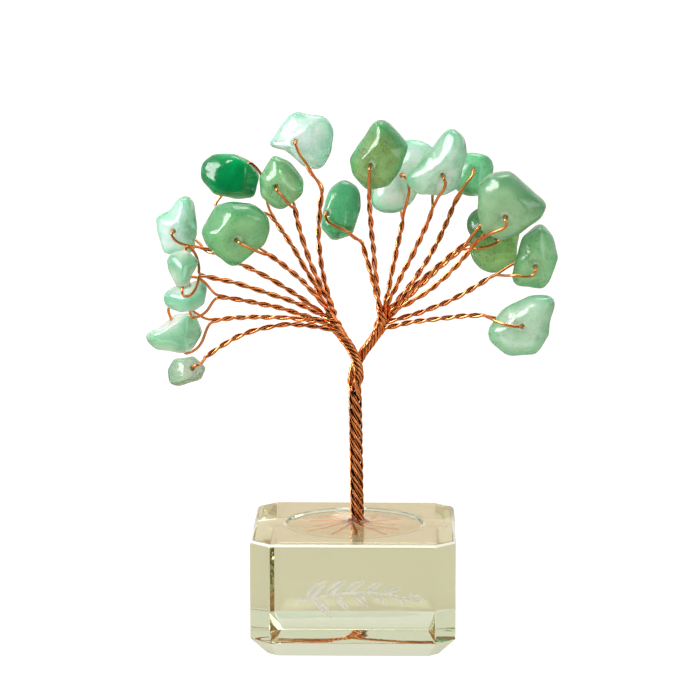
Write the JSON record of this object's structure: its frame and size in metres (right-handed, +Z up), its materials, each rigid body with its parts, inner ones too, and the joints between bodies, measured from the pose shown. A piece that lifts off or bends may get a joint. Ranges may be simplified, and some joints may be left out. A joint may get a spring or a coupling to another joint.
{
  "type": "gemstone tree ornament",
  "caption": "Small ornamental tree of twisted copper wire with drilled tumbled green stones, rooted in clear glue in the dish of a square glass block.",
  "frame": {"origin": "middle of the glass block's foot, on the surface it stands on", "axes": "+Z up, +X to the right and -Y toward the viewer, seen from the front of the tree"},
  "size_m": [0.0713, 0.035, 0.0912],
  "materials": {
    "glass": "clear polished glass",
    "glue": "clear set glue",
    "copper": "bright bare copper wire",
    "stone_pale": "tumble-polished, translucent",
    "stone_mid": "tumble-polished, translucent",
    "stone_olive": "tumble-polished, translucent",
    "stone_dark": "tumble-polished, translucent"
  },
  "bodies": {
    "tree": {"glass_base": "glass", "glue_pool": "glue", "roots": "copper", "trunk": "copper", "limb_left": "copper", "limb_right": "copper", "wire_left_1": "copper", "wire_left_2": "copper", "wire_left_3": "copper", "wire_left_4": "copper", "wire_left_5": "copper", "wire_left_6": "copper", "wire_left_7": "copper", "wire_left_8": "copper", "wire_left_9": "copper", "wire_right_1": "copper", "wire_right_2": "copper", "wire_right_3": "copper", "wire_right_4": "copper", "wire_right_5": "copper", "wire_right_6": "copper", "wire_right_7": "copper", "wire_right_8": "copper", "wire_right_9": "copper", "wire_right_10": "copper"},
    "stone_left_1": {"stone_left_1": "stone_pale"},
    "stone_left_2": {"stone_left_2": "stone_pale"},
    "stone_left_3": {"stone_left_3": "stone_pale"},
    "stone_left_4": {"stone_left_4": "stone_pale"},
    "stone_left_5": {"stone_left_5": "stone_pale"},
    "stone_left_6": {"stone_left_6": "stone_dark"},
    "stone_left_7": {"stone_left_7": "stone_mid"},
    "stone_left_8": {"stone_left_8": "stone_mid"},
    "stone_left_9": {"stone_left_9": "stone_pale"},
    "stone_right_1": {"stone_right_1": "stone_mid"},
    "stone_right_2": {"stone_right_2": "stone_olive"},
    "stone_right_3": {"stone_right_3": "stone_pale"},
    "stone_right_4": {"stone_right_4": "stone_pale"},
    "stone_right_5": {"stone_right_5": "stone_mid"},
    "stone_right_6": {"stone_right_6": "stone_pale"},
    "stone_right_7": {"stone_right_7": "stone_olive"},
    "stone_right_8": {"stone_right_8": "stone_mid"},
    "stone_right_9": {"stone_right_9": "stone_pale"},
    "stone_right_10": {"stone_right_10": "stone_mid"}
  },
  "joints": [
    {"name": "swivel_left_1", "type": "hinge", "parent": "tree", "child": "stone_left_1", "pos_m": [-0.03065, 0.00318, 0.07066], "axis": [-0.1754, -0.9781, 0.1117], "range_deg": [-15, 15]},
    {"name": "swivel_left_2", "type": "hinge", "parent": "tree", "child": "stone_left_2", "pos_m": [-0.02878, -0.0081, 0.06531], "axis": [0.0471, 0.3808, 0.9235], "range_deg": [-15, 15]},
    {"name": "swivel_left_3", "type": "hinge", "parent": "tree", "child": "stone_left_3", "pos_m": [-0.02832, -0.00098, 0.05971], "axis": [-0.0169, -0.2589, 0.9658], "range_deg": [-15, 15]},
    {"name": "swivel_left_4", "type": "hinge", "parent": "tree", "child": "stone_left_4", "pos_m": [-0.03131, 0.00698, 0.05251], "axis": [-0.3309, -0.0913, 0.9392], "range_deg": [-15, 15]},
    {"name": "swivel_left_5", "type": "hinge", "parent": "tree", "child": "stone_left_5", "pos_m": [-0.02777, -0.00504, 0.04763], "axis": [0.1384, -0.9176, 0.3727], "range_deg": [-15, 15]},
    {"name": "swivel_left_6", "type": "hinge", "parent": "tree", "child": "stone_left_6", "pos_m": [-0.0212, 0.00399, 0.0789], "axis": [0.6305, 0.0127, 0.7761], "range_deg": [-15, 15]},
    {"name": "swivel_left_7", "type": "hinge", "parent": "tree", "child": "stone_left_7", "pos_m": [-0.02053, -0.0092, 0.07153], "axis": [0.3093, -0.9394, -0.1481], "range_deg": [-15, 15]},
    {"name": "swivel_left_8", "type": "hinge", "parent": "tree", "child": "stone_left_8", "pos_m": [-0.01318, -0.00485, 0.08031], "axis": [0.0227, -0.9669, -0.254], "range_deg": [-15, 15]},
    {"name": "swivel_left_9", "type": "hinge", "parent": "tree", "child": "stone_left_9", "pos_m": [-0.01034, 0.00428, 0.08594], "axis": [0.0548, -0.9846, 0.1661], "range_deg": [-15, 15]},
    {"name": "swivel_right_1", "type": "hinge", "parent": "tree", "child": "stone_right_1", "pos_m": [-0.00461, 0.00823, 0.07272], "axis": [-0.1173, -0.9504, 0.2882], "range_deg": [-15, 15]},
    {"name": "swivel_right_2", "type": "hinge", "parent": "tree", "child": "stone_right_2", "pos_m": [0.00306, -0.00402, 0.08363], "axis": [-0.0727, -0.9858, -0.1514], "range_deg": [-15, 15]},
    {"name": "swivel_right_3", "type": "hinge", "parent": "tree", "child": "stone_right_3", "pos_m": [0.00787, 0.00622, 0.07977], "axis": [0.0816, -0.9739, 0.2116], "range_deg": [-15, 15]},
    {"name": "swivel_right_4", "type": "hinge", "parent": "tree", "child": "stone_right_4", "pos_m": [0.01477, -0.00527, 0.08217], "axis": [0.098, -0.978, -0.1841], "range_deg": [-15, 15]},
    {"name": "swivel_right_5", "type": "hinge", "parent": "tree", "child": "stone_right_5", "pos_m": [0.02028, 0.00848, 0.08018], "axis": [0.0373, -0.9481, 0.3158], "range_deg": [-15, 15]},
    {"name": "swivel_right_6", "type": "hinge", "parent": "tree", "child": "stone_right_6", "pos_m": [0.02596, -0.00738, 0.07543], "axis": [-0.1288, -0.978, -0.1641], "range_deg": [-15, 15]},
    {"name": "swivel_right_7", "type": "hinge", "parent": "tree", "child": "stone_right_7", "pos_m": [0.02386, 0.007, 0.06894], "axis": [0.286, -0.956, 0.0656], "range_deg": [-15, 15]},
    {"name": "swivel_right_8", "type": "hinge", "parent": "tree", "child": "stone_right_8", "pos_m": [0.03082, 0.00014, 0.06581], "axis": [0.0438, -0.9918, -0.1203], "range_deg": [-15, 15]},
    {"name": "swivel_right_9", "type": "hinge", "parent": "tree", "child": "stone_right_9", "pos_m": [0.02898, -0.00412, 0.05543], "axis": [-0.146, -0.9799, 0.1358], "range_deg": [-15, 15]},
    {"name": "swivel_right_10", "type": "hinge", "parent": "tree", "child": "stone_right_10", "pos_m": [0.02173, 0.00081, 0.07214], "axis": [-0.0539, -0.9897, 0.1327], "range_deg": [-15, 15]}
  ]
}
